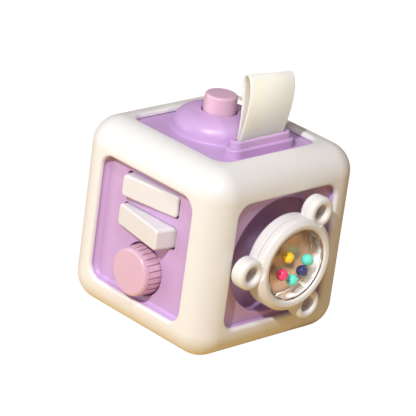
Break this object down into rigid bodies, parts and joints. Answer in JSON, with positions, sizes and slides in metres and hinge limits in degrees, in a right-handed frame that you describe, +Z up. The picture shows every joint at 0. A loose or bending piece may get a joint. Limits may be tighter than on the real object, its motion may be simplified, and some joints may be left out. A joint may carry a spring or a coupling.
{
  "type": "baby activity cube",
  "caption": "Soft-edged activity cube with rocker keys, dial, push button, pull ribbon, spinning bead rattle, slider and mirror, and a battery base.",
  "frame": {"origin": "centre of the cube's flat underside", "axes": "+Z up through the push-button face, -Y out of the key and dial face, +X out of the rattle face"},
  "size_m": [0.1399, 0.1252, 0.1684],
  "materials": {
    "shell_white": "satin moulded plastic with a fine texture",
    "panel_lilac": "satin moulded plastic",
    "knob_pink": "satin moulded plastic",
    "key_white": "smooth satin plastic",
    "ribbon_cream": "flat woven tape with a bound edge",
    "lens_clear": "clear polished plastic",
    "disc_silver": "silvered plastic film",
    "bead_yellow": "glossy bead",
    "bead_teal": "glossy bead",
    "bead_navy": "glossy bead",
    "bead_pink": "glossy bead",
    "steel": "plated steel",
    "board_green": "printed circuit board",
    "black_plastic": "moulded plastic",
    "cell_wrap": "plain cell wrap"
  },
  "bodies": {
    "case": {"shell_left": "shell_white", "shell_right": "shell_white", "case_screw_1": "steel", "case_screw_2": "steel", "case_screw_3": "steel", "case_screw_4": "steel", "front_panel": "panel_lilac", "key_pin": "steel", "circuit_board": "board_green", "key_switch_upper": "black_plastic", "key_switch_lower": "black_plastic", "top_panel": "panel_lilac", "button_seat": "shell_white", "button_spring": "steel", "button_switch": "black_plastic", "right_panel": "panel_lilac", "left_panel": "panel_lilac", "back_panel": "panel_lilac", "mirror_disc": "disc_silver", "mirror_bezel": "shell_white", "base_panel": "shell_white", "battery_door": "shell_white", "battery_door_screw": "steel", "battery_box": "shell_white", "battery_cell_1": "cell_wrap", "battery_cell_2": "cell_wrap", "battery_cell_3": "cell_wrap", "battery_contact_left": "steel", "battery_contact_right": "steel", "speaker": "black_plastic", "power_switch_body": "black_plastic"},
    "key_upper": {"key_upper": "key_white"},
    "key_lower": {"key_lower": "key_white"},
    "dial": {"dial_knob": "knob_pink", "dial_clip": "steel"},
    "button": {"push_button": "knob_pink"},
    "ribbon": {"ribbon_strap": "ribbon_cream", "ribbon_stop_bar": "shell_white"},
    "rattle": {"rattle_front_ring": "shell_white", "rattle_back_shell": "shell_white", "rattle_back_disc": "disc_silver", "rattle_lens": "lens_clear", "rattle_spindle": "shell_white", "rattle_clip": "steel", "bead_yellow": "bead_yellow", "bead_teal_side": "bead_teal", "bead_navy": "bead_navy", "bead_pink": "bead_pink", "bead_teal_low": "bead_teal"},
    "slider": {"slider_knob": "knob_pink", "slider_plate": "shell_white"},
    "power_switch": {"power_switch_slider": "black_plastic"}
  },
  "joints": [
    {"name": "key_upper_rock", "type": "hinge", "parent": "case", "child": "key_upper", "pos_m": [-0.0128, -0.05, 0.0874], "axis": [0, 0, -1], "range_deg": [0, 18.5]},
    {"name": "key_lower_rock", "type": "hinge", "parent": "case", "child": "key_lower", "pos_m": [-0.0128, -0.05, 0.0674], "axis": [0, 0, -1], "range_deg": [-18.5, 0]},
    {"name": "dial_turn", "type": "hinge", "parent": "case", "child": "dial", "pos_m": [0, -0.06, 0.0392], "axis": [0, -1, 0], "continuous": true},
    {"name": "button_press", "type": "slide", "parent": "case", "child": "button", "axis": [0, 0, -1], "range_m": [0, 0.004], "stiffness_N_per_m": 300, "springref_m": -0.003, "deforming": ["button_spring"]},
    {"name": "ribbon_pull", "type": "slide", "parent": "case", "child": "ribbon", "axis": [0, 0, 1], "range_m": [0, 0.03]},
    {"name": "rattle_spin", "type": "hinge", "parent": "case", "child": "rattle", "pos_m": [0.066, 0, 0.06], "axis": [1, 0, 0], "continuous": true},
    {"name": "slider_slide", "type": "slide", "parent": "case", "child": "slider", "axis": [0, 1, 0], "range_m": [-0.017, 0.017]},
    {"name": "power_switch_slide", "type": "slide", "parent": "case", "child": "power_switch", "axis": [1, 0, 0], "range_m": [0, 0.005]}
  ]
}
